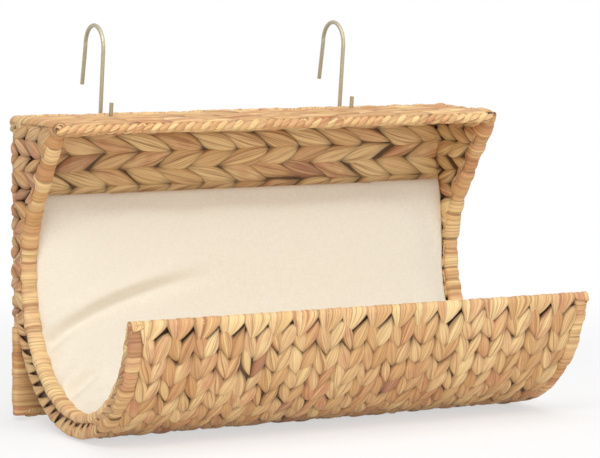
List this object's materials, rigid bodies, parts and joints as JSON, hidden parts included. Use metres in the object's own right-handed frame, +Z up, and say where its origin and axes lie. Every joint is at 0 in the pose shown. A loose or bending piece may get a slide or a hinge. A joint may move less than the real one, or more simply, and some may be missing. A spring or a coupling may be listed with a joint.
{
  "type": "woven cat bed",
  "caption": "Woven leaf cat bed with a cushioned trough, a back, side panels and a narrow top shelf, hung over a radiator by bent wire hooks.",
  "frame": {"origin": "middle of the bottom edge of the flat back, on the plane that lies against the radiator or wall", "axes": "+X to the bed's right as seen from the front, +Y out of the back towards the radiator, +Z up"},
  "size_m": [0.46, 0.3053, 0.3595],
  "materials": {
    "leaf_weave": "woven dried plant leaf, satin, straw to brown",
    "leaf_binding": "leaf strip wound tightly round wire, satin",
    "frame_steel": "dark coated wire, hidden inside the leaf",
    "cushion_cloth": "matt off-white woven cloth over soft filling",
    "hook_paint": "satin champagne beige coating"
  },
  "bodies": {
    "bed": {"back_weave": "leaf_weave", "shelf_weave": "leaf_weave", "left_side_weave": "leaf_weave", "right_side_weave": "leaf_weave", "trough_weave": "leaf_weave", "top_back_roll": "leaf_binding", "bottom_back_binding": "leaf_binding", "left_post_binding": "leaf_binding", "right_post_binding": "leaf_binding", "shelf_front_rope": "leaf_binding", "shelf_left_edge": "leaf_binding", "shelf_right_edge": "leaf_binding", "left_rim_binding": "leaf_binding", "right_rim_binding": "leaf_binding", "front_rim_binding": "leaf_binding", "left_post_wire": "frame_steel", "right_post_wire": "frame_steel", "top_back_wire": "frame_steel", "bottom_back_wire": "frame_steel", "shelf_front_wire": "frame_steel", "shelf_left_wire": "frame_steel", "shelf_right_wire": "frame_steel", "left_rim_wire": "frame_steel", "right_rim_wire": "frame_steel", "front_rim_wire": "frame_steel", "trough_stay_wire_1": "frame_steel", "trough_stay_wire_2": "frame_steel", "trough_stay_wire_3": "frame_steel", "trough_stay_wire_4": "frame_steel", "trough_stay_wire_5": "frame_steel"},
    "cushion_body": {"cushion": "cushion_cloth"},
    "left_hook_body": {"hook_left": "hook_paint"},
    "right_hook_body": {"hook_right": "hook_paint"}
  },
  "joints": [
    {"name": "cushion_lift", "type": "slide", "parent": "bed", "child": "cushion_body", "axis": [0, 0, 1], "range_m": [0, 0.05]},
    {"name": "hook_left_swing", "type": "hinge", "parent": "bed", "child": "left_hook_body", "pos_m": [-0.138, -0.0065, 0.2705], "axis": [1, 0, 0], "range_deg": [-100, 20]},
    {"name": "hook_right_swing", "type": "hinge", "parent": "bed", "child": "right_hook_body", "pos_m": [0.116, -0.0065, 0.2705], "axis": [1, 0, 0], "range_deg": [-100, 20]}
  ]
}
